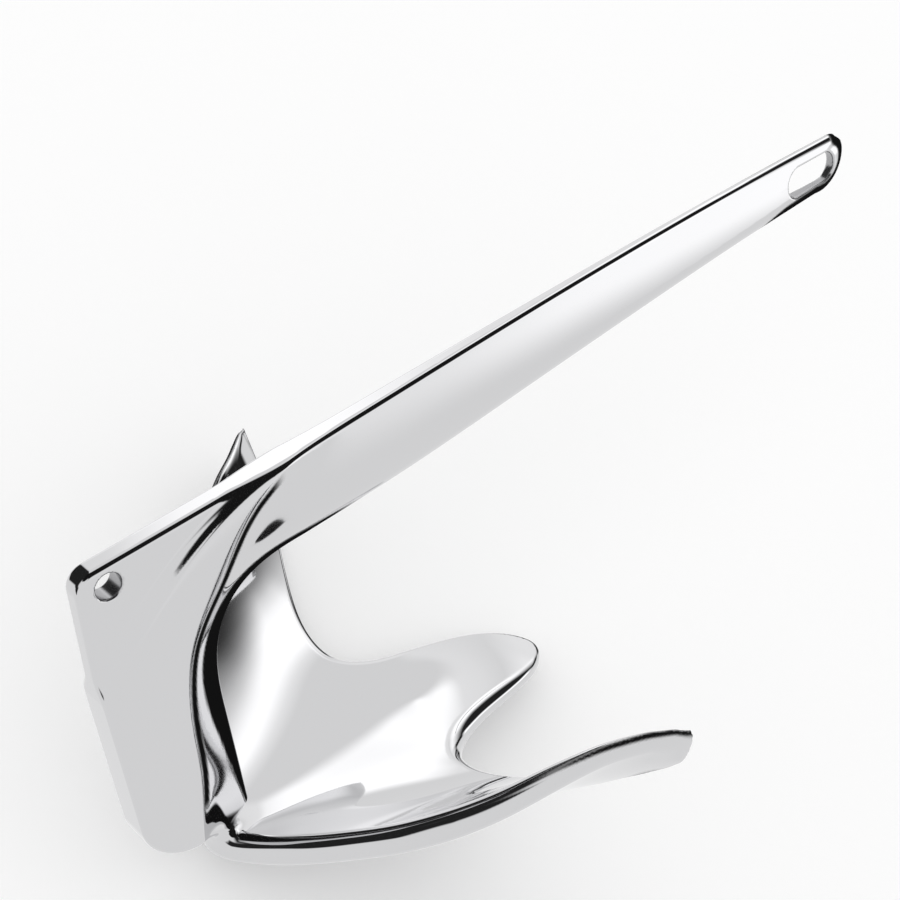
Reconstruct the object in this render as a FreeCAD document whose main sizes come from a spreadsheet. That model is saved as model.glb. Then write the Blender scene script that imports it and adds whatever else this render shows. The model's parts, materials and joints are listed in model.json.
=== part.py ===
"""Claw anchor: one stainless casting.

The anchor is drawn in a casting frame first: X runs from the back edge of
the web to the shackle end, Y is sideways, Z is up from the top edge of the
heel.  The blade is the shank and the web in one curved piece, lofted through
cross-sections and trimmed to the side outline.  The claw is a three-fluked
scoop, lofted through upright sections from one horn tip to the other.  The
finished casting is then laid down as it comes to rest on a level floor.
"""
import FreeCAD, Part
import math
import os

V = FreeCAD.Vector
doc = FreeCAD.newDocument("claw_anchor")

# Driving dimensions, in millimetres
SIZES = {
    # Shank and web, side outline
    "overall_length": 379.0,  # back edge of the web to the shackle end
    "end_rise": 9.0,  # top edge at the shackle end above the heel
    "mid_rise": 4.0,  # top edge a third of the way along
    "end_depth": 23.5,  # depth of the shank at the shackle slot
    "mid_depth": 33.8,  # depth of the shank half way along
    "root_depth": 35.5,  # depth of the shank where the throat begins
    "throat_reach": 88.0,  # back edge to the start of the throat bend
    "throat_drop": 52.0,  # height of the throat bend
    "web_width": 41.0,  # back edge to the throat, low on the web
    "web_height": 144.5,  # top edge of the heel to the foot of the web
    "back_lean": 2.2,  # how far the heel stands in from the back edge
    "heel_round": 7.5,  # corner at the heel
    "foot_round": 22.0,  # corner at the foot of the web
    "nose_round": 10.0,  # upper corner of the shackle end
    "arris_round": 1.2,  # rounding of the outline's edges
    "root_round": 3.0,  # fillet where the web meets the palm
    # Shank and web, thickness
    "web_thick": 13.8,  # web at the back edge
    "root_thick": 15.4,  # shank and web around the throat
    "mid_thick": 13.2,  # shank half way along
    "end_thick": 10.2,  # shank at the shackle slot
    "top_draft": 1.8,  # each flank draws in at the top edge
    "heel_thick": 8.0,  # heel plate around the trip-line hole
    "heel_slope": 4.0,  # width of the slope from heel plate to web
    "heel_reach": 71.0,  # heel plate along the top edge
    "heel_drop": 46.0,  # heel plate down the back edge
    "throat_edge": 14.0,  # how deep the round throat edge reaches in
    "under_edge": 6.0,  # the same under the shackle end
    # Holes
    "slot_length": 29.5,  # shackle slot over its round ends
    "slot_width": 13.2,  # shackle slot across
    "slot_wall": 5.0,  # metal between the slot and the shackle end
    "slot_down": 12.8,  # slot's centre line below the top edge
    "trip_bore": 9.6,  # trip-line hole across
    "trip_back": 13.4,  # trip-line hole in from the back edge
    "trip_down": 8.2,  # trip-line hole below the heel's top edge
    "hole_edge": 0.8,  # bevel of both holes' edges
    "cut_reach": 30.0,  # how far the cutters reach out of the blade, to each side
    # Claw
    "claw_width": 260.0,  # horn tip to horn tip
    "fluke_reach": 187.5,  # back edge to the middle fluke's tip
    "fluke_width": 46.0,  # middle fluke across its neck
    "notch_reach": 113.0,  # back edge to the bottom of a notch
    "notch_half": 44.0,  # centre line to the bottom of a notch
    "horn_reach": 144.4,  # back edge to the horn tips
    "rim_reach": 30.0,  # back edge to the rear rim on the centre line
    "rim_up": 7.0,  # rear rim of the palm above the foot of the web
    "fluke_down": 8.8,  # middle fluke's tip below the foot of the web
    "notch_up": 8.5,  # bottom of a notch above the foot of the web
    "horn_up": 63.5,  # horn tips above the foot of the web
    "palm_hollow": 3.0,  # hollow of the palm along the middle fluke
    "rim_thick": 9.6,  # claw at the rear rim
    "palm_thick": 13.6,  # claw midway between its rim and front edge
    "front_thick": 6.6,  # claw at the front edge
    "tip_thick": 2.6,  # horn at its tip
    "tip_length": 4.0,  # horn across its tip
}

sheet = doc.addObject("Spreadsheet::Sheet", "sizes")
for row, (alias, value) in enumerate(SIZES.items(), 1):
    sheet.set("A%d" % row, alias)
    sheet.set("B%d" % row, str(value))
    sheet.setAlias("B%d" % row, alias)
doc.recompute()


def size(alias):
    """The value of a named cell, as a plain number."""
    return float(sheet.get(alias))


def smooth(table, x):
    """Value at x of the smooth line through the table's (x, value) pairs."""
    xs = [p[0] for p in table]
    ys = [p[1] for p in table]
    last = len(table) - 1
    i = 0
    while i < last - 1 and x > xs[i + 1]:
        i += 1

    def slope(k):
        k0 = max(k - 1, 0)
        k1 = min(k + 1, last)
        return (ys[k1] - ys[k0]) / (xs[k1] - xs[k0])

    step = xs[i + 1] - xs[i]
    s = (x - xs[i]) / step
    if s < 0:
        return ys[i] + slope(i) * (x - xs[i])
    if s > 1:
        return ys[i + 1] + slope(i + 1) * (x - xs[i + 1])
    return (ys[i] * (1 + 2 * s) * (1 - s) ** 2
            + slope(i) * step * s * (1 - s) ** 2
            + ys[i + 1] * s * s * (3 - 2 * s)
            + slope(i + 1) * step * s * s * (s - 1))


def bezier(*poles):
    """Edge along the Bezier curve with these poles."""
    line = Part.BezierCurve()
    line.setPoles(list(poles))
    return line.toShape()


def corner(centre_x, centre_z, radius, start, end):
    """Part of a circle in the XZ plane between two angles in degrees."""
    points = []
    for degrees in (start, 0.5 * (start + end), end):
        a = math.radians(degrees)
        points.append(V(centre_x + radius * math.cos(a), 0, centre_z + radius * math.sin(a)))
    return Part.Arc(*points).toShape()


# Side outline of the blade: its outer edges only, as a trimming plate
length = size("overall_length")
height = size("web_height")
web = size("web_width")
lean = size("back_lean")
heel = size("heel_round")
foot = size("foot_round")
nose = size("nose_round")
under = size("end_depth") - nose
nose_z = size("end_rise") - nose
top_line = [
    (lean + heel, 0.0),
    (0.16 * length, 0.12 * size("end_rise")),
    (0.36 * length, size("mid_rise")),
    (0.78 * length, 0.98 * size("end_rise")),
    (length - nose, size("end_rise")),
]
top_curve = Part.BSplineCurve()
top_curve.interpolate([V(x, 0, z) for x, z in top_line])
end_x = length - under
outline = Part.Wire([
    top_curve.toShape(),
    corner(length - nose, nose_z, nose, 90, 0),
    corner(end_x, nose_z, under, 0, -90),
    Part.makeLine(V(end_x, 0, nose_z - under), V(end_x, 0, -height)),
    Part.makeLine(V(end_x, 0, -height), V(foot, 0, -height)),
    corner(foot, foot - height, foot, -90, -180),
    Part.makeLine(V(0, 0, foot - height), V(lean, 0, -heel)),
    corner(lean + heel, -heel, heel, 180, 90),
])
plate = Part.Face(outline).extrude(V(0, 2 * size("cut_reach"), 0))
plate.translate(V(0, -size("cut_reach"), 0))

# Cross-sections of the blade, each cut square to its inner edge.  They stand
# upright along the shank, fan round the throat and lie level down the web.
throat = size("throat_reach")
root_z = smooth(top_line, throat) - size("root_depth")
bend_z = root_z - size("throat_drop")
rim_z = size("rim_up") - height
SPARE = 12.0
depth_line = [
    (throat, size("root_depth")),
    (0.5 * length, size("mid_depth")),
    (end_x, size("end_depth")),
]
thick_line = [
    (throat, 0.5 * size("root_thick")),
    (0.5 * length, 0.5 * size("mid_thick")),
    (end_x, 0.5 * size("end_thick")),
]
edge_line = [
    (throat, 0.85 * size("throat_edge")),
    (0.5 * length, 0.5 * (size("throat_edge") + size("under_edge"))),
    (end_x, size("under_edge")),
]


def blade_section(x, z, angle, depth, half, outer, edge):
    """Closed outline of one cross-section of the blade, in five pieces.

    x, z is its point on the inner edge, angle the way to the outer edge,
    half and outer are half the thickness inside and at the outer edge, and
    edge is how deep the round inner edge reaches in.
    """
    a = math.radians(angle)

    def at(along, y):
        return V(x + along * math.cos(a), y, z + along * math.sin(a))

    k = 0.45
    far = depth + SPARE
    sides = []
    for y in (-1, 1):
        sides.append((
            [at(0, 0), at(0, y * half * 0.6), at(edge * k, y * half), at(edge, y * half)],
            [at(edge, y * half), at(edge + 0.4 * (depth - edge), y * half),
             at(depth, y * outer), at(far, y * outer)],
        ))
    (arc_a, flank_a), (arc_b, flank_b) = sides
    return Part.Wire([
        bezier(*arc_b),
        bezier(*flank_b),
        Part.makeLine(at(far, outer), at(far, -outer)),
        bezier(*flank_a[::-1]),
        bezier(*arc_a[::-1]),
    ])


sections = []
for x in (length + 14, 0.93 * length, 0.8 * length, 0.66 * length, 0.52 * length,
          0.4 * length, 0.31 * length, throat):
    depth = smooth(depth_line, x)
    half = smooth(thick_line, x)
    sections.append(blade_section(x, smooth(top_line, x) - depth, 90, depth, half,
                                  half - size("top_draft"), smooth(edge_line, x)))
for angle in (105, 120, 135, 150, 165, 180):
    a = math.radians(angle)
    x = throat - (throat - web) * abs(math.cos(a)) ** 0.77
    z = bend_z + size("throat_drop") * math.sin(a) ** 0.77
    reach = [x / max(abs(math.cos(a)), 0.01), (smooth(top_line, x) - z) / max(math.sin(a), 0.01)]
    depth = min(reach)
    outer = 0.5 * size("web_thick") if angle > 135 else 0.5 * size("root_thick") - size("top_draft")
    sections.append(blade_section(x, z, angle, depth, 0.5 * size("root_thick"), outer,
                                  size("throat_edge") * (0.85 + 0.15 * (angle - 90) / 90)))
for z in (0.5 * (bend_z + rim_z), -height - 10):
    sections.append(blade_section(web, z, 180, web, 0.5 * size("root_thick"),
                                  0.5 * size("web_thick"), size("throat_edge")))
# The two lofts share the section where the shank meets the throat bend
shank = Part.makeLoft(sections[:8], True, False).common(plate)
web_part = Part.makeLoft(sections[7:], True, False).common(plate)
blade = doc.addObject("Part::Feature", "blade")
blade.Label = "blade"
blade.Shape = shank.fuse(web_part).removeSplitter().Solids[0]

# Claw: both outlines from the centre line to a horn tip
wide = 0.5 * size("claw_width")
neck = 0.5 * size("fluke_width")
notch_y = size("notch_half")
notch_x = size("notch_reach")
notch_z = size("notch_up") - height
tip_x = size("fluke_reach")
tip_z = -size("fluke_down") - height
horn_x = size("horn_reach")
horn_z = size("horn_up") - height


def mix(a, b, share):
    """Value part of the way from a to b."""
    return a + (b - a) * share


# Front edge, y, x, z: round the middle fluke, through the notch, up the horn
front = [
    (0.0, tip_x, tip_z),
    (0.28 * neck, mix(tip_x, notch_x, 0.02), mix(tip_z, notch_z, 0.05)),
    (0.52 * neck, mix(tip_x, notch_x, 0.10), mix(tip_z, notch_z, 0.20)),
    (0.83 * neck, mix(tip_x, notch_x, 0.38), mix(tip_z, notch_z, 0.51)),
    (neck, mix(tip_x, notch_x, 0.68), mix(tip_z, notch_z, 0.83)),
    (mix(neck, notch_y, 0.33), mix(tip_x, notch_x, 0.90), mix(tip_z, notch_z, 0.94)),
    (notch_y, notch_x, notch_z),
]
for share, along, up in ((0.20, 0.065, 0.105), (0.38, 0.29, 0.20), (0.55, 0.53, 0.28),
                         (0.68, 0.71, 0.385), (0.77, 0.82, 0.505), (0.88, 0.935, 0.67),
                         (0.945, 0.98, 0.775)):
    front.append((mix(notch_y, wide, share), mix(notch_x, horn_x, along), mix(notch_z, horn_z, up)))

# Rear rim: it sweeps back to the horn tip and rises with it
rim_rise = [(0.0, 0.0), (0.18, 0.09), (0.38, 0.26), (0.59, 0.51), (0.78, 0.82), (0.88, 0.98), (1.0, 1.0)]
palm = tip_x - size("rim_reach")


def claw_section(y, front_x, front_z, rear_x, rear_z, rear_thick, palm_thick, front_thick):
    """Closed upright section of the claw at y, in four smooth pieces."""
    rear = V(rear_x, y, rear_z)
    tip = V(front_x, y, front_z)
    along = tip - rear
    chord = along.Length
    along.normalize()
    up = V(-along.z, 0, along.x)
    tip = tip - along * (0.4 * front_thick)
    sag = up * (2 * size("palm_hollow") * chord / palm)
    middle = (rear + tip) * 0.5 - sag
    low_rear = rear - up * rear_thick
    low_tip = tip - up * front_thick
    swell = 2 * (palm_thick - 0.5 * (rear_thick + front_thick))
    low_middle = (low_rear + low_tip) * 0.5 - sag - up * swell
    out = along * (0.55 * front_thick)
    back = along * (0.2 * rear_thick)
    return Part.Wire([
        bezier(rear, middle, tip),
        bezier(tip, tip + out, low_tip + out, low_tip),
        bezier(low_tip, low_middle, low_rear),
        bezier(low_rear, low_rear - back, rear - back, rear),
    ])


thin_line = [(0.0, 1.0), (0.7, 1.0), (0.8, 0.95), (0.9, 0.78), (1.0, 0.45)]
swell_line = [(0.0, 1.0), (0.35, 0.95), (0.7, 0.75), (0.9, 0.5), (1.0, 0.25)]
half_sections = []
for y, x, z in front:
    share = y / wide
    rear_x = mix(size("rim_reach"), horn_x, share ** 1.5)
    rear_z = mix(rim_z, horn_z, smooth(rim_rise, share))
    thin = smooth(thin_line, share)
    half_sections.append((y, x, z, rear_x, rear_z, size("rim_thick") * thin,
                          size("palm_thick") * smooth(swell_line, share), size("front_thick") * thin))
end = size("tip_length")
half_sections.append((wide - 0.8, horn_x, horn_z - end, horn_x - 0.6, horn_z,
                      size("tip_thick"), size("tip_thick"), size("tip_thick")))
stations = [(-s[0],) + s[1:] for s in half_sections[:0:-1]] + half_sections
claw = doc.addObject("Part::Feature", "claw")
claw.Label = "claw"
claw.Shape = Part.makeLoft([claw_section(*station) for station in stations], True, False)

# Heel plate: a thinner corner of the web, its edge sloping up along a bow
heel_half = 0.5 * size("heel_thick")
raised = 0.5 * size("root_thick") - heel_half


def heel_outline(y, shift):
    """Closed outline of the heel pocket at y, moved towards the heel."""
    x = -0.52 * shift
    z = 0.85 * shift
    start = V(size("heel_reach") + 13 + x, y, 2.5 + z)
    turn = V(0.56 * size("heel_reach") + x, y, -2.5 + z)
    stop = V(-6 + x, y, -size("heel_drop") - 6 + z)
    beyond = V(-30, y, 40)
    return Part.Wire([bezier(start, turn, stop), Part.makeLine(stop, beyond), Part.makeLine(beyond, start)])


pocket = Part.makeLoft([
    heel_outline(heel_half, size("heel_slope")),
    heel_outline(heel_half + 2 * raised, -size("heel_slope")),
], True, True)
near_pocket = doc.addObject("Part::Feature", "near_pocket")
near_pocket.Shape = pocket
far_pocket = doc.addObject("Part::Mirroring", "far_pocket")
far_pocket.Source = near_pocket
far_pocket.Normal = V(0, 1, 0)


def upright(name, kind, bind):
    """A cutter lying across the blade, its sizes bound to the sheet."""
    item = doc.addObject(kind, name)
    for key, text in bind.items():
        item.setExpression(key, text)
    return item


# Trip-line hole and shackle slot, with a bevel at each side
trip_hole = upright("trip_hole", "Part::Cylinder", {
    "Radius": "sizes.trip_bore / 2",
    "Height": "2 * sizes.cut_reach",
    "Placement.Base.x": "sizes.trip_back",
    "Placement.Base.y": "sizes.cut_reach",
    "Placement.Base.z": "-sizes.trip_down",
})
trip_hole.Placement = FreeCAD.Placement(V(0, 1, 0), FreeCAD.Rotation(V(1, 0, 0), 90))
bevels = []
for name, side, turn in (("near_bevel", 1, 90), ("far_bevel", -1, -90)):
    bevel = upright(name, "Part::Cone", {
        "Radius1": "sizes.trip_bore / 2 + 2 * sizes.hole_edge",
        "Radius2": "sizes.trip_bore / 2",
        "Height": "2 * sizes.hole_edge",
        "Placement.Base.x": "sizes.trip_back",
        "Placement.Base.y": "%d * (sizes.heel_thick / 2 + sizes.hole_edge)" % side,
        "Placement.Base.z": "-sizes.trip_down",
    })
    bevel.Placement = FreeCAD.Placement(V(0, side, 0), FreeCAD.Rotation(V(1, 0, 0), turn))
    bevels.append(bevel)

slot_ends = []
for name, inward in (("slot_outer_end", "sizes.slot_width / 2"),
                     ("slot_inner_end", "(sizes.slot_length - sizes.slot_width / 2)")):
    end_cut = upright(name, "Part::Cylinder", {
        "Radius": "sizes.slot_width / 2",
        "Height": "2 * sizes.cut_reach",
        "Placement.Base.x": "sizes.overall_length - sizes.slot_wall - " + inward,
        "Placement.Base.y": "sizes.cut_reach",
        "Placement.Base.z": "sizes.end_rise - sizes.slot_down",
    })
    end_cut.Placement = FreeCAD.Placement(V(0, 1, 0), FreeCAD.Rotation(V(1, 0, 0), 90))
    slot_ends.append(end_cut)
slot_middle = upright("slot_middle", "Part::Box", {
    "Length": "sizes.slot_length - sizes.slot_width",
    "Width": "2 * sizes.cut_reach",
    "Height": "sizes.slot_width",
    "Placement.Base.x": "sizes.overall_length - sizes.slot_wall - sizes.slot_length + sizes.slot_width / 2",
    "Placement.Base.y": "-sizes.cut_reach",
    "Placement.Base.z": "sizes.end_rise - sizes.slot_down - sizes.slot_width / 2",
})

cutters = doc.addObject("Part::MultiFuse", "cutters")
cutters.Shapes = [near_pocket, far_pocket, trip_hole] + bevels + slot_ends + [slot_middle]
casting = doc.addObject("Part::MultiFuse", "casting")
casting.Shapes = [blade, claw]
drilled = doc.addObject("Part::Cut", "drilled")
drilled.Base = casting
drilled.Tool = cutters
doc.recompute()


def is_arris(edge):
    """True for an edge that follows the blade's side outline.

    The lower part of the shackle end is left out: it is round already.
    """
    box = edge.BoundBox
    middle = edge.valueAt(0.5 * (edge.FirstParameter + edge.LastParameter))
    under_end = middle.x > end_x - 1 and middle.z < nose_z
    if under_end or box.YMin < 0 < box.YMax:
        return False
    return outline.distToShape(Part.Vertex(middle.x, 0, middle.z))[0] < 0.01


def is_root(edge):
    """True for an edge where the web stands on the palm."""
    box = edge.BoundBox
    inside = box.XMin > size("rim_reach") - 3 and box.XMax < web + 1
    beside = max(abs(box.YMin), abs(box.YMax)) < 0.5 * size("root_thick") + 1
    return inside and beside and box.ZMin > -height + 1 and box.ZMax < rim_z + 4


rounded = doc.addObject("Part::Feature", "rounded")
arrises = [edge for edge in drilled.Shape.Edges if is_arris(edge)]
rounded.Shape = drilled.Shape.makeFillet(size("arris_round"), arrises)
roots = [edge for edge in rounded.Shape.Edges if is_root(edge)]
rounded.Shape = rounded.Shape.makeFillet(size("root_round"), roots)

# Resting pose: of all ways down, the one near upright that puts the centre of
# mass lowest above the floor.  It leans over on to the horn of the +Y side.
solid = rounded.Shape.Solids[0]
points = [(p.x, p.y, p.z) for p in solid.tessellate(0.3)[0]]
mass_x, mass_y, mass_z = solid.CenterOfMass


def down(pitch, roll):
    """Direction to the floor, pitched along X and rolled along Y, degrees."""
    p = math.radians(pitch)
    r = math.radians(roll)
    return (math.sin(p) * math.cos(r), -math.sin(r), -math.cos(p) * math.cos(r))


def height_above_floor(pitch, roll):
    """Centre of mass above the lowest point, with that way down."""
    x, y, z = down(pitch, roll)
    lowest = max(px * x + py * y + pz * z for px, py, pz in points)
    return lowest - (mass_x * x + mass_y * y + mass_z * z)


pitch, roll, step = 0.0, -20.0, 4.0
best = height_above_floor(pitch, roll)
while step > 0.0005:
    trial = []
    for i in range(12):
        a = math.radians(30 * i)
        p = pitch + step * math.cos(a)
        r = roll + step * math.sin(a)
        trial.append((height_above_floor(p, r), p, r))
    lowest = min(trial)
    if lowest[0] < best:
        best, pitch, roll = lowest
    else:
        step *= 0.5

turn = FreeCAD.Rotation(V(*down(pitch, roll)), V(0, 0, -1))
laid = [turn.multVec(V(*p)) for p in points]
low = [min(p[i] for p in laid) for i in range(3)]
high = [max(p[i] for p in laid) for i in range(3)]
base = V(-0.5 * (low[0] + high[0]), -0.5 * (low[1] + high[1]), -low[2])

anchor = doc.addObject("Part::Feature", "claw_anchor")
anchor.Label = "claw_anchor"
anchor.Shape = solid
anchor.Placement = FreeCAD.Placement(base, turn)
doc.recompute()

for item in doc.Objects:
    if "Invalid" in item.State or "Error" in item.State:
        raise RuntimeError("%s failed" % item.Label)
for item in (blade, claw, casting, drilled, rounded, anchor):
    if item.Shape.isNull() or not item.Shape.isValid() or len(item.Shape.Solids) != 1:
        raise RuntimeError("%s is not one sound solid" % item.Label)

print("volume %.1f cm3" % (anchor.Shape.Volume / 1000))
print("pitch %.2f roll %.2f" % (pitch, roll))
print("size %.1f x %.1f x %.1f mm" % tuple(high[i] - low[i] for i in range(3)))
os.makedirs("parts", exist_ok=True)
anchor.Shape.exportStep("parts/%s.step" % anchor.Label)
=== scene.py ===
"""Claw anchor: a single stainless casting, mirror polished, resting on its claw."""
import json
import math

import bpy
import numpy as np
from mathutils import Matrix


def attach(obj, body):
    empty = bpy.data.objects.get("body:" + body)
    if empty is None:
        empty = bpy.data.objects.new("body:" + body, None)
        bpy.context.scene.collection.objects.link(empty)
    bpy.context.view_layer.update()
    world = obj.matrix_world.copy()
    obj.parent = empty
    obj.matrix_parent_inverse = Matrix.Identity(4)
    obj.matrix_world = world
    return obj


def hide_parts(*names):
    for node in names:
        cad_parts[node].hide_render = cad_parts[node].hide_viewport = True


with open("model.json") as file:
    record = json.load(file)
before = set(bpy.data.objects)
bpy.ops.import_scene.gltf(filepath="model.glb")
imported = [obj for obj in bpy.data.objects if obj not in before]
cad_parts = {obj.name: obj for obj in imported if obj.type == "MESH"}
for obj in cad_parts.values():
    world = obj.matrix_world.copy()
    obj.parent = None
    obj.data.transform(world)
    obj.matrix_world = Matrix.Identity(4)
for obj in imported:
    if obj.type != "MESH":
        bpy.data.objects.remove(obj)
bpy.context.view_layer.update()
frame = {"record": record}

# The casting stands in its own frame, in millimetres: X runs from the back of the
# web to the shackle end, Y is sideways and Z is up from the heel.  The two holes
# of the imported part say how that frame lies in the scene.
HOLE = np.array([13.4, 0.0, -8.2])
SLOT = np.array([359.25, 0.0, -3.8])
mounts = {mount["name"]: mount for mount in frame["record"]["mounts"]}
hole_at = 1000 * np.array(mounts["trip_line_hole"]["pos_m"])
slot_at = 1000 * np.array(mounts["shackle_slot"]["pos_m"])
side_at = np.array(mounts["trip_line_hole"]["axis"])


def axes_of(along, side):
    """Three square unit axes as columns: along, side made square to it, and their cross product."""
    first = along / np.linalg.norm(along)
    second = side - first * (side @ first)
    second = second / np.linalg.norm(second)
    return np.stack([first, second, np.cross(first, second)], 1)


TURN = axes_of(slot_at - hole_at, side_at) @ axes_of(SLOT - HOLE, np.array([0.0, 1.0, 0.0])).T


def placed(points):
    """Points of the casting's frame in mm, as scene points in metres."""
    return ((points - HOLE) @ TURN.T + hole_at) / 1000


# Blade outline.  Shank and web are one curved plate, cast in one piece with the claw.
# Tables give its top edge, and its depth under that, against X.  The inner edge turns
# down round the throat into the web, and the outer edge has a rounded heel and foot.
LENGTH = 381.5
TOP = ((0.0, -0.2), (9.7, 0.0), (60.6, 1.1), (136.4, 4.0), (215.0, 7.0), (295.6, 8.8), (369.0, 9.0),
       (390.0, 8.8))
DEPTH = ((40.0, 36.2), (88.0, 35.6), (122.5, 35.9), (189.5, 33.7), (263.5, 29.4), (323.5, 25.9),
         (365.5, 24.2), (390.0, 23.2))
THROAT = 88.0
THROAT_DROP = 52.0
THROAT_POWER = 2.87
WEB = 44.0
FOOT = -133.5
FOOT_ROUND = 22.0
BACK_OUT = -0.8
BACK_BEND = -50.0
BACK_LEAN = 2.0
HEEL_ROUND = 7.5
NOSE_ROUND = 10.0
NOSE_UNDER = 14.5
NOSE_Z = -1.0
NOSE_TURN = 62.0
RUN_ON = 40.0
FOOT_RUN_ON = 20.0
ARC_POINTS = 40
THROAT_POINTS = 160
UNDER_POINTS = 60
TOP_POINTS = 90


def spline(table):
    """Natural cubic spline through (x, value) pairs: piecewise cubics whose second
    derivatives solve the usual three-term system, and are zero at both ends."""
    x, v = np.array(table, float).T
    step = np.diff(x)
    n = len(x)
    system = np.eye(n)
    right = np.zeros(n)
    for i in range(1, n - 1):
        system[i, i - 1:i + 2] = step[i - 1], 2 * (step[i - 1] + step[i]), step[i]
        right[i] = 6 * ((v[i + 1] - v[i]) / step[i] - (v[i] - v[i - 1]) / step[i - 1])
    bend = np.linalg.solve(system, right)

    def value(t):
        t = np.clip(t, x[0], x[-1])
        i = np.clip(np.searchsorted(x, t) - 1, 0, n - 2)
        h = step[i]
        p = (x[i + 1] - t) / h
        q = (t - x[i]) / h
        return p * v[i] + q * v[i + 1] + ((p ** 3 - p) * bend[i] + (q ** 3 - q) * bend[i + 1]) * h * h / 6

    return value


def arc(centre_x, centre_z, radius, start, end):
    """Points of a circle between two angles in degrees."""
    a = np.radians(np.linspace(start, end, ARC_POINTS))
    return np.stack([centre_x + radius * np.cos(a), centre_z + radius * np.sin(a)], 1)


top = spline(TOP)
depth = spline(DEPTH)
bend_z = top(THROAT) - depth(THROAT) - THROAT_DROP
turn = np.radians(np.linspace(90, 180, THROAT_POINTS))
power = 2 / THROAT_POWER
throat_bend = np.stack([THROAT - (THROAT - WEB) * np.abs(np.cos(turn)) ** power,
                        bend_z + THROAT_DROP * np.abs(np.sin(turn)) ** power], 1)
under_x = np.linspace(LENGTH - NOSE_UNDER, THROAT, UNDER_POINTS)[1:-1]
nose = np.concatenate([
    arc(LENGTH - NOSE_ROUND, NOSE_Z, NOSE_ROUND, NOSE_TURN, 0),
    arc(LENGTH - NOSE_UNDER, NOSE_Z, NOSE_UNDER, 0, -90)[1:],
])
past_nose = RUN_ON * np.array([math.cos(math.radians(NOSE_TURN)), math.sin(math.radians(NOSE_TURN))])
inner = np.concatenate([
    [nose[0] + past_nose],
    nose,
    np.stack([under_x, top(under_x) - depth(under_x)], 1),
    throat_bend,
    [(WEB, FOOT - RUN_ON)],
])
top_x = np.linspace(BACK_LEAN + HEEL_ROUND, LENGTH - NOSE_ROUND, TOP_POINTS)
outer = np.concatenate([
    [(WEB + FOOT_RUN_ON, FOOT)],
    arc(BACK_OUT + FOOT_ROUND, FOOT + FOOT_ROUND, FOOT_ROUND, 270, 180),
    [(BACK_OUT, BACK_BEND)],
    arc(BACK_LEAN + HEEL_ROUND, -HEEL_ROUND, HEEL_ROUND, 180, 90),
    np.stack([top_x, top(top_x)], 1)[1:],
    arc(LENGTH - NOSE_ROUND, NOSE_Z, NOSE_ROUND, 90, NOSE_TURN)[1:],
    [nose[0] + (past_nose[1], -past_nose[0])],
])

# Grid.  The casting's skin is found on a grid of this step, and smooth functions of
# two coordinates are kept on samples twice as fine.
STEP = 0.75
FINE = STEP / 2
BACK_MARGIN = 5.0
END_MARGIN = 4.0
SIDE_STEPS = 188
GRID_LOW = -170.0
GRID_HIGH = 13.0
grid_x = np.arange(-BACK_MARGIN / STEP, (LENGTH + END_MARGIN) / STEP) * STEP
grid_y = np.arange(-SIDE_STEPS, SIDE_STEPS + 1) * STEP
grid_z = np.arange(GRID_LOW / STEP, GRID_HIGH / STEP) * STEP
fine_x = grid_x[0] + np.arange(2 * len(grid_x) - 1) * FINE
fine_y = grid_y[0] + np.arange(2 * len(grid_y) - 1) * FINE
fine_z = grid_z[0] + np.arange(2 * len(grid_z) - 1) * FINE


class Sheet:
    """A smooth function of two coordinates, kept on a square grid of samples.

    Between samples it is the cubic through the four nearest each way.
    """

    def __init__(self, first, second, values):
        self.starts = first[0], second[0]
        self.values = values

    def __call__(self, u, v):
        weights = []
        places = []
        for t, start, count in zip((u, v), self.starts, self.values.shape):
            t = np.clip((t - start) / FINE, 1, count - 2.001)
            i = np.floor(t).astype(int)
            s = t - i
            weights.append((-0.5 * s + s ** 2 - 0.5 * s ** 3, 1 - 2.5 * s ** 2 + 1.5 * s ** 3,
                            0.5 * s + 2 * s ** 2 - 1.5 * s ** 3, 0.5 * (s ** 3 - s ** 2)))
            places.append(i)
        total = 0
        for j in range(4):
            row = 0
            for k in range(4):
                row = row + weights[1][k] * self.values[places[0] + j - 1, places[1] + k - 1]
            total = total + weights[0][j] * row
        return total


def distance(line, x, z):
    """Distance from each (x, z) to a line of points: to its nearest piece."""
    points = np.stack([x.ravel(), z.ravel()], 1)
    best = np.full(len(points), np.inf)
    for start, end in zip(line[:-1], line[1:]):
        run = end - start
        share = np.clip((points - start) @ run / (run @ run), 0, 1)
        gap = points - start - share[:, None] * run
        best = np.minimum(best, (gap ** 2).sum(1))
    return np.sqrt(best).reshape(x.shape)


def within(loop, x, z):
    """True where (x, z) lies inside a closed line: a ray crosses it an odd number of times."""
    odd = np.zeros(x.shape, bool)
    for (x0, z0), (x1, z1) in zip(loop, np.roll(loop, -1, 0)):
        if z0 != z1:
            crosses = (z0 > z) != (z1 > z)
            odd ^= crosses & (x < x0 + (z - z0) * (x1 - x0) / (z1 - z0))
    return odd


def signed(line, beyond, x, z):
    """Distance to a line, above 0 on the side of it that is closed by the points beyond."""
    closed = np.concatenate([line, beyond])
    return distance(line, x, z) * np.where(within(closed, x, z), 1, -1)


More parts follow.
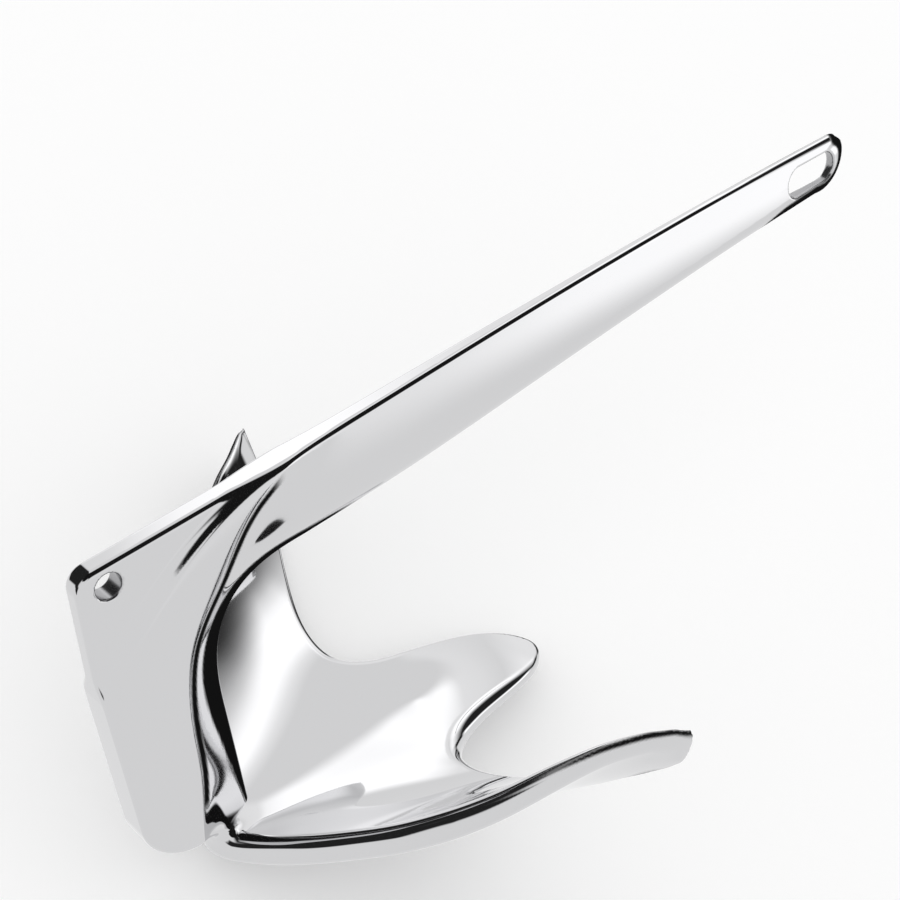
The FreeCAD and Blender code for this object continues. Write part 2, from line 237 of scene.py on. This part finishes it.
# Blade edges, as distances inside each.  Along the straight runs they are taken from
# the tables themselves, so that the mirror shows no facets of the outline's points.
FAR = 500.0
END_LOW = -60.0
SMALL = 0.1
TOP_NEAR = 9.0
LOW_NEAR = 12.0
LOW_AFTER_THROAT = 4.0
LOW_BEFORE_NOSE = 2.0
plane_x, plane_z = np.meshgrid(fine_x, fine_z, indexing="ij")
inner_gap = -signed(inner, [(FAR, FOOT - RUN_ON), (FAR, inner[0, 1])], plane_x, plane_z)
outer_gap = signed(outer, [(FAR, END_LOW), (FAR, FOOT)], plane_x, plane_z)
top_rise = (top(plane_x + SMALL) - top(plane_x - SMALL)) / (2 * SMALL)
top_gap = (top(plane_x) - plane_z) / np.hypot(1, top_rise)
on_top = (plane_x > BACK_LEAN + HEEL_ROUND) & (plane_x < LENGTH - NOSE_ROUND) & (np.abs(top_gap) < TOP_NEAR)
outer_gap = np.where(on_top, top_gap, outer_gap)
low_rise = top_rise - (depth(plane_x + SMALL) - depth(plane_x - SMALL)) / (2 * SMALL)
low_gap = (plane_z - (top(plane_x) - depth(plane_x))) / np.hypot(1, low_rise)
on_low = (plane_x > THROAT + LOW_AFTER_THROAT) & (plane_x < LENGTH - NOSE_UNDER - LOW_BEFORE_NOSE)
inner_gap = np.where(on_low & (np.abs(low_gap) < LOW_NEAR), low_gap, inner_gap)

# Blade flanks.  Half the thickness is a table against X, less a draft to the top and the
# back.  The inner edge is ground to a bull nose, and the heel's corner is thinner, with a
# slope up to the full web along a bow.  Past the shoulder the flank falls to the throat.
HALF = ((-20.0, 7.9), (40.0, 7.9), (88.0, 7.9), (189.5, 6.7), (280.0, 5.9), (365.5, 5.5), (390.0, 5.5))
EDGE = ((-20.0, 15.0), (44.0, 15.0), (88.0, 13.0), (189.5, 10.0), (335.0, 7.0), (352.0, 9.0),
        (366.0, 13.0), (390.0, 15.0))
TOP_DRAFT = 1.5
BACK_DRAFT = 0.3
BACK_DRAFT_FADE = 60.0
DRAFT_LIMIT = 1.2
NOSE_EDGE = 1.6
NOSE_BACK = 22.0
NOSE_BLEND = 12.0
NOSE_LOW = 1.0
NOSE_LIFT = 8.0
ARRIS = 1.9
HEEL_HALF = 4.2
HEEL_BOW = ((100.0, 2.5), (84.0, 0.5), (41.0, -2.0), (-4.0, -52.0), (-10.0, -60.0))
HEEL_BEYOND = ((-40.0, 40.0), (60.0, 60.0))
HEEL_SLOPE = 4.8
HEEL_POWER = 1.6
BOW_POINTS = 80
SHOULDER = ((97.0, 9.0), (80.3, -1.8), (71.0, -6.6), (62.0, -13.8), (55.5, -21.2), (49.5, -28.6),
            (42.2, -37.0), (35.4, -47.0), (30.6, -60.6), (27.6, -79.9), (26.0, -101.9), (23.0, -118.0),
            (16.0, -150.0))
SHOULDER_BEYOND = ((FAR, -150.0), (FAR, 9.0))
SHOULDER_SPACING = 2.0
SHOULDER_DROP = 2.2
SHOULDER_FADE = 5.0
CREASE_SOFT = 0.9


def bow(poles):
    """Points of the Bezier curve with three poles: the weighted mean of the poles."""
    s = np.linspace(0, 1, BOW_POINTS)[:, None]
    first, second, third = np.array(poles, float)
    return first * (1 - s) ** 2 + 2 * second * s * (1 - s) + third * s * s


def through(points, spacing):
    """Smooth line through points: one spline for each coordinate, against the length along them."""
    points = np.array(points, float)
    along = np.concatenate([[0], np.cumsum(np.linalg.norm(np.diff(points, axis=0), axis=1))])
    t = np.arange(0, along[-1], spacing)
    return np.stack([spline(np.stack([along, points[:, k]], 1))(t) for k in (0, 1)], 1)


def ease(t):
    """Smooth step from 0 to 1 as t goes from 0 to 1, with level ends."""
    t = np.clip(t, 0, 1)
    return t ** 3 * (10 - 15 * t + 6 * t * t)


def past_crease(gap):
    """A distance with its negative side levelled to 0, over a soft width."""
    return 0.5 * (gap + np.hypot(gap, CREASE_SOFT))


heel_line = np.concatenate([[HEEL_BOW[0]], bow(HEEL_BOW[1:4]), [HEEL_BOW[4]]])
past_heel = past_crease(signed(heel_line, HEEL_BEYOND, plane_x, plane_z))
shoulder_gap = signed(through(SHOULDER, SHOULDER_SPACING), SHOULDER_BEYOND, plane_x, plane_z)
past_shoulder = past_crease(shoulder_gap)
on_nose = ease((plane_x - LENGTH + NOSE_BACK) / NOSE_BLEND) * ease((plane_z - NOSE_LOW) / NOSE_LIFT)
edge_reach = spline(EDGE)(plane_x) * (1 - on_nose) + NOSE_EDGE * on_nose
full_half = (spline(HALF)(plane_x)
             - TOP_DRAFT * np.clip(1 - (top(plane_x) - plane_z) / depth(plane_x), 0, DRAFT_LIMIT) ** 2
             - BACK_DRAFT * np.clip(1 - plane_x / WEB, 0, DRAFT_LIMIT) ** 2 * ease(-plane_z / BACK_DRAFT_FADE)
             - SHOULDER_DROP * (1 - np.exp(-past_shoulder / SHOULDER_FADE)))
flank = HEEL_HALF + (full_half - HEEL_HALF) * np.clip(1 - past_heel / HEEL_SLOPE, 0, 1) ** HEEL_POWER
blade_sheets = [Sheet(fine_x, fine_z, values) for values in (inner_gap, outer_gap, flank, edge_reach)]
shoulder_sheet = Sheet(fine_x, fine_z, shoulder_gap)


def meet(a, b, radius):
    """Where both solids are, their shared edge rounded over: outside it the distance to a circle."""
    over = np.sqrt(np.maximum(a + radius, 0) ** 2 + np.maximum(b + radius, 0) ** 2) - radius
    return np.where((a > -radius) & (b > -radius), over, np.maximum(a, b))


def join(a, b, radius):
    """Where either solid is, with a round fillet of this radius between them."""
    return -meet(-a, -b, radius)


def blade(y, sheets):
    """Below 0 inside the blade: an ellipse about the inner edge, level flanks past it, cut to the outline."""
    gap, border, half, reach = sheets
    inward = np.maximum(reach - gap, 0) / reach
    body = half * (np.sqrt(inward ** 2 + (y / half) ** 2) - 1)
    return meet(body, -border, ARRIS)


# Claw.  A scoop with a middle fluke and two horns, cast with the blade.  Its upper skin is
# the smoothest sheet through the points of these rows, as a thin plate would bend.  A row
# is x, y, z, thickness, rounding, the rounding's reach, and the face's lean in degrees.
RIM = (  # rear rim, from the middle to a horn
    (30.0, 0.0, -137.5, 11.6, 5.0, 4.0, 8), (35.5, 13.0, -136.5, 11.6, 5.0, 4.0, 8),
    (45.7, 31.5, -129.9, 11.4, 5.0, 4.0, 8), (56.8, 48.5, -123.2, 11.0, 5.0, 4.0, 8),
    (67.9, 64.0, -115.9, 10.6, 5.0, 4.2, 8), (80.3, 77.5, -108.2, 10.2, 5.0, 4.4, 8),
    (93.0, 90.0, -99.2, 9.0, 5.6, 4.6, 12), (107.2, 101.0, -89.8, 7.7, 5.8, 4.6, 12),
    (121.4, 110.5, -83.3, 6.3, 5.2, 3.8, 12), (134.6, 120.2, -79.6, 5.2, 4.0, 2.4, 8),
    (141.0, 126.6, -78.2, 4.6, 2.8, 1.3, 4),
)
TIP = (144.6, 130.0, -78.4, 3.8, 1.8, 0.5, 0)
FRONT = (  # front edge, from a horn through the notch to the middle fluke's tip
    (144.6, 126.5, -88.5, 3.4, 1.0, 0.2, -4), (143.2, 120.0, -97.5, 3.2, 1.0, 0.2, -6),
    (139.5, 110.5, -106.2, 3.2, 1.0, 0.2, -8), (130.0, 92.6, -119.0, 3.8, 1.4, 0.2, -10),
    (121.9, 77.0, -125.2, 4.6, 2.2, 0.3, -8), (115.4, 61.5, -129.8, 5.8, 3.4, 0.6, -4),
    (112.9, 48.0, -133.4, 7.6, 5.0, 1.2, 0), (114.3, 38.0, -134.6, 9.0, 6.0, 1.8, 4),
    (120.7, 30.0, -135.4, 9.2, 6.0, 2.0, 6), (136.3, 23.3, -137.4, 8.4, 5.0, 1.8, 6),
    (158.9, 18.8, -142.6, 7.0, 3.6, 1.2, 4), (176.0, 13.4, -147.6, 5.8, 2.4, 0.8, 0),
    (184.6, 7.0, -151.2, 5.0, 1.8, 0.5, -4), (187.8, 0.0, -152.8, 4.8, 1.6, 0.4, -4),
)
MIDDLE = (  # hollow of the palm and the middle fluke
    (60.0, 0.0, -141.5, 13.5, 5.0, 3.0, 0), (95.0, 0.0, -141.3, 17.0, 5.0, 3.0, 0),
    (125.0, 0.0, -142.4, 17.0, 5.0, 3.0, 0),
)
MIRROR = (1, -1, 1, 1, 1, 1, 1)
STIFFNESS = 12.0
PALM_STIFFNESS = 250.0
PALM = 125.0
PALM_FADE = 50.0
CLAW_END = 200.0
PLAN_SPACING = 0.8
THICK_LIMITS = (2.2, 20.0)
ROUND_LIMITS = (0.8, 7.0)
REACH_LIMITS = (0.0, 6.0)
LEAN_LIMITS = (-12.0, 12.0)
LEAST_PULL = 0.7
BELLY_ARRIS = 2.2
ROOT = 8.0


def mirrored(rows):
    """The rows and their copies on the other side."""
    rows = np.array(rows, float)
    return np.concatenate([rows, (rows * MIRROR)[rows[:, 1] > 0]])


def bulge(square):
    """The thin plate's kernel r * r * log(r), from the square of r."""
    return 0.5 * square * np.log(square + 1e-9)


def thin_plate(rows, column):
    """The sheet of least bending through a column of the rows: a level tilt plus r * r * log(r)
    about each point.  Stiffness, most of it in the palm, lets it pass beside points that are off."""
    at = rows[:, :2]
    stiffness = STIFFNESS + PALM_STIFFNESS * np.clip((PALM - np.abs(at[:, 1])) / PALM_FADE, 0, 1)
    between = bulge(((at[:, None, :] - at) ** 2).sum(-1))
    n = len(rows)
    ones = np.concatenate([np.ones((n, 1)), at], 1)
    system = np.block([[between + np.diag(stiffness), ones], [ones.T, np.zeros((3, 3))]])
    solved = np.linalg.solve(system, np.concatenate([rows[:, column], np.zeros(3)]))

    def height(x, y):
        out = solved[n] + solved[n + 1] * x + solved[n + 2] * y
        for weight, (px, py) in zip(solved[:n], at):
            out = out + weight * bulge((x - px) ** 2 + (y - py) ** 2)
        return out

    return height


rim_plan = np.array(RIM + (TIP,))[:, :2]
front_plan = np.array((TIP,) + FRONT)[:, :2]
rim_half = through(np.concatenate([(rim_plan[1:3] * (1, -1))[::-1], rim_plan]), PLAN_SPACING)
rim_half = rim_half[rim_half[:, 1] >= 0]
front_half = through(np.concatenate([front_plan, (front_plan[-3:-1] * (1, -1))[::-1]]), PLAN_SPACING)
front_half = front_half[front_half[:, 1] >= 0]
claw_half = np.concatenate([rim_half, front_half])
claw_loop = np.concatenate([claw_half, (claw_half * (1, -1))[::-1]])
claw_points = mirrored(RIM + (TIP,) + FRONT + MIDDLE)
half_y = fine_y[fine_y > -FINE / 2]
near_claw = fine_x < CLAW_END
plan_x, plan_y = np.meshgrid(fine_x[near_claw], half_y, indexing="ij")
skin, gauge, crown, spread, lean = [thin_plate(claw_points, column)(plan_x, plan_y) for column in range(2, 7)]
gauge = np.clip(gauge, *THICK_LIMITS)
crown = np.clip(crown, *ROUND_LIMITS)
spread = np.clip(spread, *REACH_LIMITS)
lean = np.radians(np.clip(lean, *LEAN_LIMITS))
inland = within(claw_loop, plan_x, plan_y)
claw_edge = np.concatenate([claw_loop, claw_loop[:1]])
rim_gap = distance(claw_edge, plan_x, plan_y) * np.where(inland, 1, -1)
slope_x, slope_y = np.gradient(skin, FINE)
gap_x, gap_y = np.gradient(rim_gap, FINE)
uphill = slope_x * gap_x + slope_y * gap_y
steep = np.sqrt(1 + slope_x ** 2 + slope_y ** 2)
wall = spread + rim_gap * np.maximum(np.cos(lean) - uphill * np.sin(lean), LEAST_PULL)


def whole(values):
    """A sheet over both sides, from its values on one."""
    both = np.concatenate([values[:, :0:-1], values], 1)
    return Sheet(fine_x, fine_y, np.concatenate([both, np.repeat(both[-1:], (~near_claw).sum(), 0)]))


claw_sheets = [whole(values) for values in (skin, steep, gauge, wall, steep * np.sin(lean), crown)]


def claw(z, sheets):
    """Below 0 inside the claw: under its upper skin, above its lower skin, and within its rim.

    The rim's face leans in or out, and its top edge is rounded over.
    """
    upper, slant, thick, rim, tilt, rounding = sheets
    over = (z - upper) / slant
    body = meet(over, over * tilt - rim, rounding)
    return meet(body, -over - thick, BELLY_ARRIS)


# Holes.  A long slot for the shackle and a round hole for a trip line, both with
# polished, slightly rounded rims.
SLOT_HALF = 6.6
SLOT_RUN = 8.15
HOLE_HALF = 4.8
SLOT_RIM = 1.2
HOLE_RIM = 0.8


def slot_gap(x, z):
    """Distance outside the slot: a stadium round the line between its two centres."""
    return np.hypot(np.maximum(np.abs(x - SLOT[0]) - SLOT_RUN, 0), z - SLOT[2]) - SLOT_HALF


def ring_gap(x, z):
    """Distance outside the round hole."""
    return np.hypot(x - HOLE[0], z - HOLE[2]) - HOLE_HALF


def holes(body, x, z):
    """The body without its holes, each with a round rim."""
    return meet(meet(body, -slot_gap(x, z), SLOT_RIM), -ring_gap(x, z), HOLE_RIM)


# Skin of the casting.  It is the level surface of one function: blade and claw joined
# by a fillet, less the holes.  Its corners and normals are set on that function itself,
# because a mirror shows every small kink.
SLAB = 32
SETTLE_STEPS = 3
LEAST_GRADE = 0.05


def anchor(p):
    """Below 0 inside the finished casting, about the distance from its skin in mm."""
    x, y, z = p.T
    plate = blade(y, [sheet(x, z) for sheet in blade_sheets])
    scoop = claw(z, [sheet(x, y) for sheet in claw_sheets])
    return holes(join(plate, scoop, ROOT), x, z)


def anchor_block(rows):
    """The same on a block of the grid, for these rows of x."""
    x = grid_x[rows, None, None]
    y = grid_y[None, :, None]
    z = grid_z[None, None, :]
    plane = [sheet.values[2 * rows, None, ::2] for sheet in blade_sheets]
    plan = [sheet.values[2 * rows, ::2, None] for sheet in claw_sheets]
    return holes(join(blade(y, plane), claw(z, plan), ROOT), x, z)


def level_surface():
    """Net of quads about the zero level: each grid edge whose ends differ in sign gives one
    quad, and each quad's corner is the mean of the crossings round its grid cell."""
    size_y, size_z = len(grid_y), len(grid_z)
    strides = (size_y * size_z, size_z, 1)
    cells = []
    crossings = []
    for start in range(0, len(grid_x) - 1, SLAB):
        rows = np.arange(start, min(start + SLAB + 1, len(grid_x)))
        block = anchor_block(rows)
        for axis in range(3):
            ahead = [slice(None)] * 3
            behind = [slice(None)] * 3
            ahead[axis], behind[axis] = slice(1, None), slice(None, -1)
            if axis:
                ahead[0] = behind[0] = slice(0, len(rows) - 1)
            near, far = block[tuple(behind)], block[tuple(ahead)]
            i, j, k = np.nonzero((near < 0) != (far < 0))
            a, b = near[i, j, k], far[i, j, k]
            crossing = np.stack([i + start, j, k], 1).astype(float)
            crossing[:, axis] += a / (a - b)
            number = (i + start) * strides[0] + j * strides[1] + k
            u, v = [strides[n] for n in range(3) if n != axis]
            ring = np.stack([number, number - u, number - u - v, number - v], 1)
            flip = (a < 0) == (axis == 1)
            ring[flip] = ring[flip][:, ::-1]
            cells.append(ring)
            crossings.append(crossing)
    cells = np.concatenate(cells)
    crossings = np.repeat(np.concatenate(crossings), 4, 0)
    _, corner = np.unique(cells.ravel(), return_inverse=True)
    count = np.bincount(corner)
    centre = np.stack([np.bincount(corner, crossings[:, n]) / count for n in range(3)], 1)
    return np.array([grid_x[0], grid_y[0], grid_z[0]]) + centre * STEP, corner.reshape(-1, 4)


def slope(p):
    """Direction in which the distance grows fastest, by small steps each way."""
    steps = SMALL * np.eye(3)
    return np.stack([(anchor(p + step) - anchor(p - step)) / (2 * SMALL) for step in steps], 1)


def settled(p):
    """Points moved on to the skin: a few steps down the slope by the distance left."""
    for _ in range(SETTLE_STEPS):
        grade = slope(p)
        p = p - (anchor(p) / np.maximum((grade ** 2).sum(1), LEAST_GRADE))[:, None] * grade
    return p


def outward(p):
    """Unit normals of the skin."""
    grade = slope(p)
    return grade / np.linalg.norm(grade, axis=1)[:, None]


# Painted reflection: dark stripes painted into the colour where the mirror would show dark
# parts of a room.  They follow the throat's inner edge, the web's shoulder, the nose and the
# rim of the horns, each a window on the distance from its edge.
BAND_DEPTH = ((-90.0, 2.5), (-76.0, 4.5), (-58.0, 7.0), (-32.0, 9.5), (-6.0, 9.0), (13.0, 8.0),
              (27.0, 7.0), (43.0, 5.5), (58.0, 4.5), (73.0, 3.4), (91.0, 2.4), (110.0, 1.6))
BAND_SOFT = 1.1
BAND_START = 0.7
BAND_END = 118.0
BAND_FADE = 20.0
BAND_LOW = -134.0
BLADE_SIDE = 10.0
STRIP_WIDE = 2.8
STRIP_LOW = -122.0
STRIP_END = 84.0
STRIP_FADE = 8.0
NOSE_START = 0.4
NOSE_DARK = 4.6
NOSE_FROM = 318.0
NOSE_FADE = 30.0
RIM_BAND = ((100.0, 2.4, 2.9), (108.0, 2.2, 3.5), (114.0, 1.8, 3.7), (120.0, 1.3, 3.5), (126.0, 0.8, 2.9),
            (131.0, 0.5, 1.9))
RIM_FROM = 98.0
RIM_FADE = 12.0
RIM_INSIDE = 7.0
RIM_INSIDE_FADE = 1.5
band_depth = spline(BAND_DEPTH)
rim_start = spline([(side, start) for side, start, _ in RIM_BAND])
rim_stop = spline([(side, stop) for side, _, stop in RIM_BAND])


def window(value, low, high):
    """1 between two limits, 0 outside them, eased over a soft width."""
    return ease((value - low) / BAND_SOFT + 0.5) * ease((high - value) / BAND_SOFT + 0.5)


def painted_bands(p, spare):
    """How dark the painted reflection is at points, 0 to 1: the darkest of the four windows, each made
    wider by a spare width at both sides."""
    x, y, z = p.T
    side = np.abs(y)
    behind = blade_sheets[0](x, z)
    throat = window(behind, BAND_START - spare, band_depth(x + z) + spare) * ease((BAND_END - x) / BAND_FADE)
    past_slot = ease((x - NOSE_FROM) / NOSE_FADE)
    round_nose = window(behind, NOSE_START - spare, NOSE_DARK * past_slot + spare) * (past_slot > 0)
    strip = window(shoulder_sheet(x, z), -spare, STRIP_WIDE + spare)
    strip = strip * ease((z - STRIP_LOW) / STRIP_FADE) * ease((STRIP_END - x) / STRIP_FADE)
    on_blade = np.maximum(np.maximum(throat, round_nose), strip) * (side < BLADE_SIDE) * (z > BAND_LOW)
    skin_sheet, steep_sheet, _, wall_sheet = claw_sheets[:4]
    below = (skin_sheet(x, y) - z) / steep_sheet(x, y)
    under_rim = window(below, rim_start(side) - spare, rim_stop(side) + spare)
    on_face = ease((RIM_INSIDE - wall_sheet(x, y)) / RIM_INSIDE_FADE) * ease((side - RIM_FROM) / RIM_FADE)
    return np.maximum(on_blade, under_rim * on_face)


# The casting's mesh.  The net is thinned where it carries no painted band, set back on the skin,
# and given the skin's own normals and two attributes: the painted reflection, and the holes' walls.
TRIANGLES = 190000
SPARE = 1.0
NO_PAINTED_BAND = 0.01
BORE_FADE = 0.6
corners, quads = level_surface()
corners = settled(corners)
net = bpy.data.meshes.new("casting_net")
net.from_pydata(placed(corners).tolist(), [], quads.tolist())
casting = bpy.data.objects.new("casting", net)
bpy.context.scene.collection.objects.link(casting)
free = casting.vertex_groups.new(name="free")
free.add(np.nonzero(painted_bands(corners, SPARE) < NO_PAINTED_BAND)[0].tolist(), 1.0, "REPLACE")
thinner = casting.modifiers.new("thinner", "DECIMATE")
thinner.vertex_group = "free"
thinner.ratio = min(1.0, TRIANGLES / (2 * len(quads)))
bpy.context.view_layer.update()
mesh = bpy.data.meshes.new_from_object(casting.evaluated_get(bpy.context.evaluated_depsgraph_get()))
casting.modifiers.clear()
casting.data = mesh
flat = np.empty(3 * len(mesh.vertices))
mesh.vertices.foreach_get("co", flat)
kept = settled((flat.reshape(-1, 3) * 1000 - hole_at) @ TURN + HOLE)
mesh.vertices.foreach_set("co", placed(kept).ravel())
mesh.update()
mesh.shade_smooth()
mesh.normals_split_custom_set_from_vertices((outward(kept) @ TURN.T).tolist())
hole_gap = np.minimum(slot_gap(kept[:, 0], kept[:, 2]), ring_gap(kept[:, 0], kept[:, 2]))
# One attribute holds the painted reflection: dark stripes painted into the colour, standing in for dark parts
# of a room in the mirror.
for name, values in (("painted_reflection", painted_bands(kept, 0.0)), ("bore", np.clip(1 - hole_gap / BORE_FADE, 0, 1))):
    mesh.attributes.new(name, "FLOAT", "POINT").data.foreach_set("value", values)
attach(casting, "root")
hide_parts("claw_anchor")


# Finish.  Stainless steel ground and buffed to a mirror, with the faint waves that
# buffing leaves.  The walls of the holes are duller, and the painted reflection stripes are near black.
class Wire:
    """A shader socket.  Arithmetic on wires adds Math nodes to their tree."""

    def __init__(self, socket):
        self.socket = socket

    def node(self, kind, settings, values, output=0):
        """Add a node of a type, with its settings, then the values or wires of its sockets."""
        made = self.socket.id_data.nodes.new("ShaderNode" + kind)
        for name, value in settings.items():
            setattr(made, name, value)
        for key, value in values.items():
            if isinstance(value, Wire):
                made.id_data.links.new(value.socket, made.inputs[key])
            else:
                made.inputs[key].default_value = value
        return Wire(made.outputs[output])

    def maths(self, operation, *values):
        """Add a Math node that works on these values or wires, in order."""
        return self.node("Math", {"operation": operation}, dict(enumerate(values)))

    def __add__(self, other):
        return self.maths("ADD", self, other)

    __radd__ = __add__

    def __sub__(self, other):
        return self.maths("SUBTRACT", self, other)

    def __rsub__(self, other):
        return self.maths("SUBTRACT", other, self)

    def __mul__(self, other):
        return self.maths("MULTIPLY", self, other)

    __rmul__ = __mul__


def source(tree, kind, output):
    """The first wire of a tree: an output of a node that has no inputs."""
    return Wire(tree.nodes.new("ShaderNode" + kind).outputs[output])


def connect(wire, socket):
    """Link a wire to a socket of an existing node."""
    socket.id_data.links.new(wire.socket, socket)


STEEL = (0.67, 0.67, 0.68)
BORE_STEEL = (0.40, 0.40, 0.41)
PAINTED_DARKEST = 0.99
POLISH = 0.03
BUFFED = 0.02
BORE_ROUGH = 0.22
BUFFING = {"Scale": 55.0, "Detail": 3.0}
WAVES = {"Scale": 28.0, "Detail": 1.0}
WAVE_BUMP = {"Strength": 0.12, "Distance": 0.0004}
steel = bpy.data.materials.new("mirror_steel")
steel.use_nodes = True
shader = steel.node_tree.nodes["Principled BSDF"]
shader.inputs["Specular IOR Level"].default_value = 0.0
place = source(steel.node_tree, "TexCoord", "Object")
buffing = place.node("TexNoise", {}, {"Vector": place, **BUFFING}, "Fac")
in_bore = place.node("Attribute", {"attribute_name": "bore"}, {}, "Fac")
connect(POLISH + BUFFED * buffing + BORE_ROUGH * in_bore, shader.inputs["Roughness"])
# Painted reflection: where the stripe attribute is high, the base colour goes to near black and Metallic to
# 0, so the painted dark stripes stay black from every side.
in_painted_reflection = place.node("Attribute", {"attribute_name": "painted_reflection"}, {}, "Fac")
connect(1 - in_painted_reflection, shader.inputs["Metallic"])
level = 1 - PAINTED_DARKEST * in_painted_reflection
parts = {name: share * level for name, share in zip(("Red", "Green", "Blue"), STEEL)}
steel_with_painted_reflection = level.node("CombineColor", {}, parts)
tint = in_bore.node("MixRGB", {}, {"Fac": in_bore, "Color1": steel_with_painted_reflection, "Color2": (*BORE_STEEL, 1)})
connect(tint, shader.inputs["Base Color"])
waves = place.node("TexNoise", {}, {"Vector": place, **WAVES}, "Fac")
bumps = place.node("Bump", {}, {"Height": waves, **WAVE_BUMP}, "Normal")
connect(bumps, shader.inputs["Normal"])
casting.data.materials.clear()
casting.data.materials.append(steel)

# Floor.  A round sheet of matt white paper under the anchor, which takes its shadow.
# The mirror doesn't see it, only the tent around.
FLOOR = (0.985, 0.985, 0.985)
FLOOR_RADIUS = 1.4
FLOOR_STEP = 5
floor_turn = np.radians(np.arange(0, 360, FLOOR_STEP))
floor_rim = np.stack([FLOOR_RADIUS * np.cos(floor_turn), FLOOR_RADIUS * np.sin(floor_turn),
                      0 * floor_turn], 1)
floor_mesh = bpy.data.meshes.new("floor")
floor_mesh.from_pydata(floor_rim.tolist(), [], [list(range(len(floor_rim)))])
floor = bpy.data.objects.new("floor", floor_mesh)
paper = bpy.data.materials.new("pale_paper")
paper.use_nodes = True
paper_shader = paper.node_tree.nodes["Principled BSDF"]
paper_shader.inputs["Base Color"].default_value = (*FLOOR, 1)
paper_shader.inputs["Roughness"].default_value = 1.0
paper_shader.inputs["Specular IOR Level"].default_value = 0.0
floor_mesh.materials.append(paper)
bpy.context.scene.collection.objects.link(floor)
floor.visible_glossy = False

# Tent.  Plain white light for the floor and the camera.  The mirror finish sees bright
# walls with dark gaps: tables against the angle round the tent, in degrees, give the
# light of each band of height, the height where the dark top begins, and how softly.
GAP = 0.02
FAR_DOWN = ((-180, 0.93), (180, 0.93))
BELOW = ((-180, 0.93), (6, 0.93), (12, GAP), (34, GAP), (40, 0.93), (180, 0.93))
HORIZON = ((-180, GAP), (-167, GAP), (-160, 0.93), (-86, 0.93), (-66, 1.0), (-58, 1.15),
           (-53, 1.4), (-24, 1.6), (-14, GAP), (8, GAP), (22, 1.0), (36, 1.1), (42, 0.95),
           (58, 1.1), (66, 1.6), (73, 1.5), (77, 0.9), (80, GAP), (180, GAP))
LOW = ((-180, GAP), (-167, GAP), (-160, 0.93), (-86, 0.93), (-66, 1.0), (-58, 1.2),
       (-53, 1.5), (-47, 1.6), (-43, GAP), (-12, GAP), (-4, 0.4), (4, 0.8), (15, 1.2),
       (25, 1.4), (36, 1.2), (42, 0.95), (50, 1.05), (61, 1.1), (67, 1.5), (71, 1.5),
       (75, 0.95), (78, 0.9), (80, GAP), (180, GAP))
HIGH = ((-180, 0.9), (-160, 0.93), (-92, 0.93), (-86, GAP), (-12, GAP), (-4, 0.4), (4, 1.0),
        (12, 1.4), (20, 1.6), (42, 1.5), (49, 1.15), (56, 0.93), (77, 0.93), (80, GAP),
        (160, GAP), (180, 0.9))
LEVELS = ((-36, 4, BELOW), (-9, 3, HORIZON), (3, 4, LOW), (24, 6, HIGH))
TOPS = ((-180, 54), (-130, 51), (-118, 45), (-92, 41), (-86, 34), (-44, 36), (-10, 42),
        (2, 45), (14, 50), (23, 54), (32, 59), (45, 65), (60, 68), (90, 68), (180, 56))
SOFT = ((-180, 2), (-60, 2), (-12, 7), (60, 7), (80, 2), (180, 2))
BRIGHTEST = 2.0
STEEPEST = 90.0
SOFTEST = 10.0
DARK_TOP = 0.01
world = bpy.data.worlds.new("studio")
bpy.context.scene.world = world
world.use_nodes = True
backdrop = world.node_tree.nodes["Background"]
sight = source(world.node_tree, "TexCoord", "Generated")
split = sight.node("SeparateXYZ", {}, {"Vector": sight})
sight_x, sight_y, sight_z = [Wire(out) for out in split.socket.node.outputs]
around = 180 / math.pi * sight.maths("ARCTAN2", sight_y, sight_x)
height = 180 / math.pi * sight.maths("ARCSINE", sight_z)


def along(table, scale):
    """Values of a table at the ray's direction round the tent: a ramp of straight pieces."""
    share = around.node("MapRange", {}, {"Value": around, "From Min": -180.0, "From Max": 180.0})
    ramp = share.node("ValToRGB", {}, {"Fac": share})
    stops = ramp.socket.node.color_ramp.elements
    for _ in range(len(table) - 2):
        stops.new(0.5)
    for stop, (angle, value) in zip(stops, table):
        stop.position = (angle + 180) / 360
        stop.color = (value / scale, value / scale, value / scale, 1)
    return scale * ramp


def past(value, edge, soft):
    """0 before an edge, 1 after it, eased over a soft width."""
    ends = {"Value": value, "From Min": edge - soft, "From Max": edge + soft}
    return value.node("MapRange", {"interpolation_type": "SMOOTHSTEP"}, ends)


light = along(FAR_DOWN, BRIGHTEST)
for edge, soft, table in LEVELS:
    over = past(height, edge, soft)
    light = light * (1 - over) + along(table, BRIGHTEST) * over
open_top = past(height, along(TOPS, STEEPEST), along(SOFT, SOFTEST))
light = light * (1 - open_top) + DARK_TOP * open_top
glossy = source(world.node_tree, "LightPath", "Is Glossy Ray")
connect(1 - glossy + glossy * light, backdrop.inputs["Strength"])
backdrop.inputs["Color"].default_value = (1, 1, 1, 1)

# Camera.  Its place and its axes (right, up and back) are given in the casting's frame.
EYE = np.array([-139.8, -396.0, 321.7])
EYE_AXES = np.array([[0.7526, -0.6513, -0.0973], [0.4445, 0.3933, 0.8048], [-0.4859, -0.6489, 0.5855]])
LENS = 66.0
SENSOR = 36.0
camera = bpy.data.objects.new("camera", bpy.data.cameras.new("camera"))
camera.data.sensor_width = SENSOR
camera.data.lens = LENS
pose = np.eye(4)
pose[:3, :3] = TURN @ EYE_AXES.T
pose[:3, 3] = placed(EYE[None])[0]
camera.matrix_world = Matrix(pose.tolist())
bpy.context.scene.collection.objects.link(camera)
bpy.context.scene.camera = camera
bpy.context.scene.view_settings.view_transform = "Standard"
